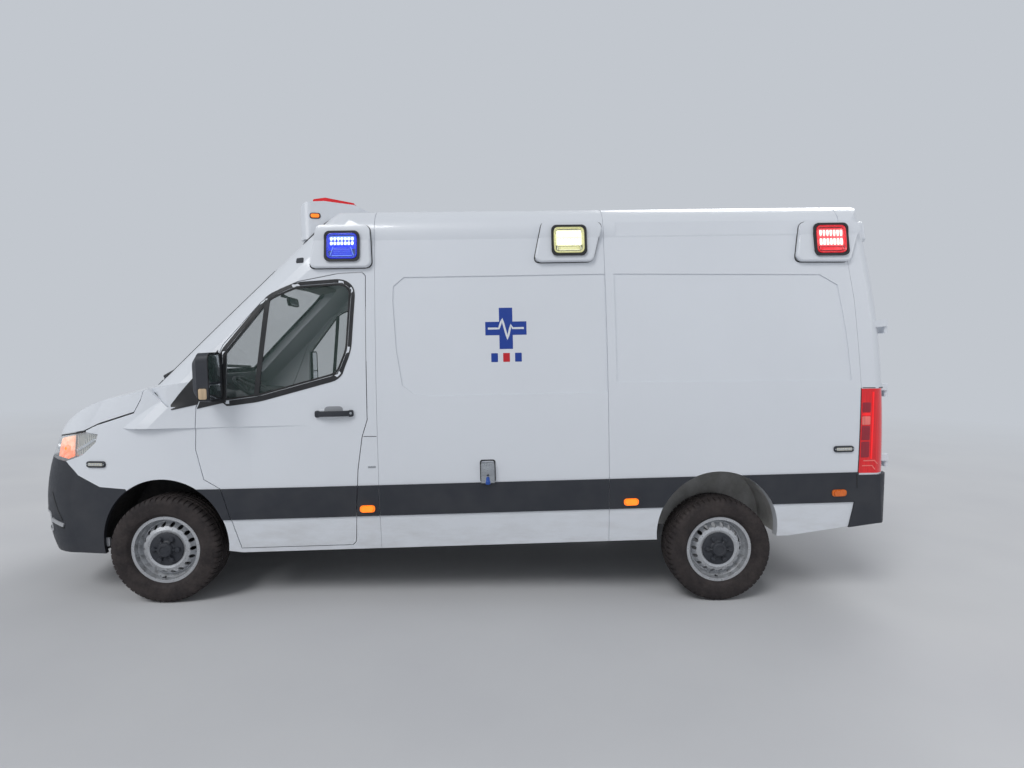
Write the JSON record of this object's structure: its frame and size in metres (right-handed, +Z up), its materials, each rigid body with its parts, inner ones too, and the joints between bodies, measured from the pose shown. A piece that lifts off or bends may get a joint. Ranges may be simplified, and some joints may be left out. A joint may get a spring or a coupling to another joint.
{
  "type": "high-roof van ambulance",
  "caption": "High-roof panel-van ambulance with hinged front and rear doors, bonnet, steered front wheels, side lamp pods and a roof lamp fairing.",
  "frame": {"origin": "on the ground, at the centre of the overall box", "axes": "+X towards the nose, +Y to the vehicle's left, +Z up"},
  "size_m": [5.8833, 2.385, 2.7349],
  "materials": {
    "amber_lens": "moulded amber lens",
    "black_plastic": "grained black plastic",
    "cast_metal": "bare casting",
    "chassis_metal": "waxed black chassis paint",
    "clear_lens": "clear moulded lens",
    "floor_vinyl": "grey safety flooring",
    "grille_plastic": "satin black",
    "inlet_metal": "silver inlet cover",
    "interior_plastic": "moulded cab trim",
    "lamp_black": "black lamp bezel with LED lens",
    "liner_plastic": "moulded arch liner",
    "privacy_glass": "dark privacy glass",
    "red_lens": "moulded red lens",
    "seat_cloth": "woven seat cloth",
    "tyre_rubber": "worn road rubber",
    "wheel_silver": "silver wheel paint",
    "white_paint": "gloss white paint",
    "window_glass": "lightly tinted safety glass"
  },
  "bodies": {
    "root": {"wings": "white_paint", "front_bumper": "black_plastic", "headlamps": "clear_lens", "grille": "grille_plastic", "wheel_housings": "liner_plastic", "floor": "floor_vinyl", "cab_frame": "white_paint", "windscreen": "window_glass", "side_left": "white_paint", "side_right": "white_paint", "sliding_door": "white_paint", "sliding_door_glass": "privacy_glass", "tail_lamps": "red_lens", "rear_frame": "white_paint", "rear_bumper": "black_plastic", "roof": "white_paint", "bulkhead": "interior_plastic", "dashboard": "interior_plastic", "cab_seats": "seat_cloth", "rub_strips": "black_plastic", "lamp_pods": "white_paint", "warning_lenses": "clear_lens", "roof_fairing": "white_paint", "warning_lamps": "lamp_black", "beacon_lenses": "red_lens", "marker_lamps": "amber_lens", "power_inlet": "inlet_metal", "underframe": "chassis_metal", "engine": "cast_metal", "front_axle": "chassis_metal", "rear_axle": "chassis_metal", "propshaft": "chassis_metal", "leaf_springs": "chassis_metal", "fuel_tank": "liner_plastic", "exhaust": "cast_metal"},
    "bonnet": {"bonnet": "white_paint"},
    "front_door_left": {"front_door_left": "white_paint", "door_glass_left": "window_glass", "door_strip_left": "black_plastic", "mirror_left": "black_plastic"},
    "front_door_right": {"front_door_right": "white_paint", "door_glass_right": "window_glass", "door_strip_right": "black_plastic", "mirror_right": "black_plastic"},
    "rear_door_left": {"rear_door_left": "white_paint", "rear_glass_left": "privacy_glass"},
    "rear_door_right": {"rear_door_right": "white_paint", "rear_glass_right": "privacy_glass"},
    "steering_wheel": {"steering_wheel": "interior_plastic"},
    "knuckle_left": {"knuckle_left": "cast_metal"},
    "knuckle_right": {"knuckle_right": "cast_metal"},
    "wheel_front_left": {"rim_front_left": "wheel_silver", "tyre_front_left": "tyre_rubber"},
    "wheel_front_right": {"rim_front_right": "wheel_silver", "tyre_front_right": "tyre_rubber"},
    "wheel_rear_left": {"rim_rear_left": "wheel_silver", "tyre_rear_left": "tyre_rubber"},
    "wheel_rear_right": {"rim_rear_right": "wheel_silver", "tyre_rear_right": "tyre_rubber"}
  },
  "joints": [
    {"name": "front_door_left_hinge", "type": "hinge", "parent": "root", "child": "front_door_left", "pos_m": [1.70433, 0.997, 1.00703], "axis": [-0.0305, 0, -0.9995], "range_deg": [0, 70]},
    {"name": "rear_door_left_hinge", "type": "hinge", "parent": "root", "child": "rear_door_left", "pos_m": [-2.89308, 0.922, 1.04745], "axis": [-0.0529, 0, -0.9986], "range_deg": [0, 180]},
    {"name": "front_door_right_hinge", "type": "hinge", "parent": "root", "child": "front_door_right", "pos_m": [1.70433, -0.997, 1.00703], "axis": [0.0305, 0, 0.9995], "range_deg": [0, 70]},
    {"name": "rear_door_right_hinge", "type": "hinge", "parent": "root", "child": "rear_door_right", "pos_m": [-2.89308, -0.922, 1.04745], "axis": [0.0529, 0, 0.9986], "range_deg": [0, 180]},
    {"name": "bonnet_hinge", "type": "hinge", "parent": "root", "child": "bonnet", "pos_m": [2.03251, 0, 1.4172], "axis": [0, -1, 0], "range_deg": [0, 55]},
    {"name": "steer_left", "type": "hinge", "parent": "root", "child": "knuckle_left", "pos_m": [1.91918, 0.771, 0.35], "axis": [0, -0.1736, 0.9848], "range_deg": [-35, 35]},
    {"name": "steer_right", "type": "hinge", "parent": "root", "child": "knuckle_right", "pos_m": [1.91918, -0.771, 0.35], "axis": [0, 0.1736, 0.9848], "range_deg": [-35, 35]},
    {"name": "steering_wheel_turn", "type": "hinge", "parent": "root", "child": "steering_wheel", "pos_m": [1.49047, 0.455, 1.35873], "axis": [-0.5038, 0, 0.8638], "range_deg": [-525, 525]},
    {"name": "wheel_front_left_spin", "type": "hinge", "parent": "knuckle_left", "child": "wheel_front_left", "pos_m": [1.91918, 0.866, 0.35], "axis": [0, 1, 0], "continuous": true},
    {"name": "wheel_front_right_spin", "type": "hinge", "parent": "knuckle_right", "child": "wheel_front_right", "pos_m": [1.91918, -0.866, 0.35], "axis": [0, 1, 0], "continuous": true},
    {"name": "wheel_rear_left_spin", "type": "hinge", "parent": "root", "child": "wheel_rear_left", "pos_m": [-1.74582, 0.8685, 0.35], "axis": [0, 1, 0], "continuous": true},
    {"name": "wheel_rear_right_spin", "type": "hinge", "parent": "root", "child": "wheel_rear_right", "pos_m": [-1.74582, -0.8685, 0.35], "axis": [0, 1, 0], "continuous": true}
  ],
  "couplings": [
    {"joint": "steer_right", "follows": "steer_left", "ratio": 1},
    {"joint": "steering_wheel_turn", "follows": "steer_left", "ratio": 15}
  ]
}
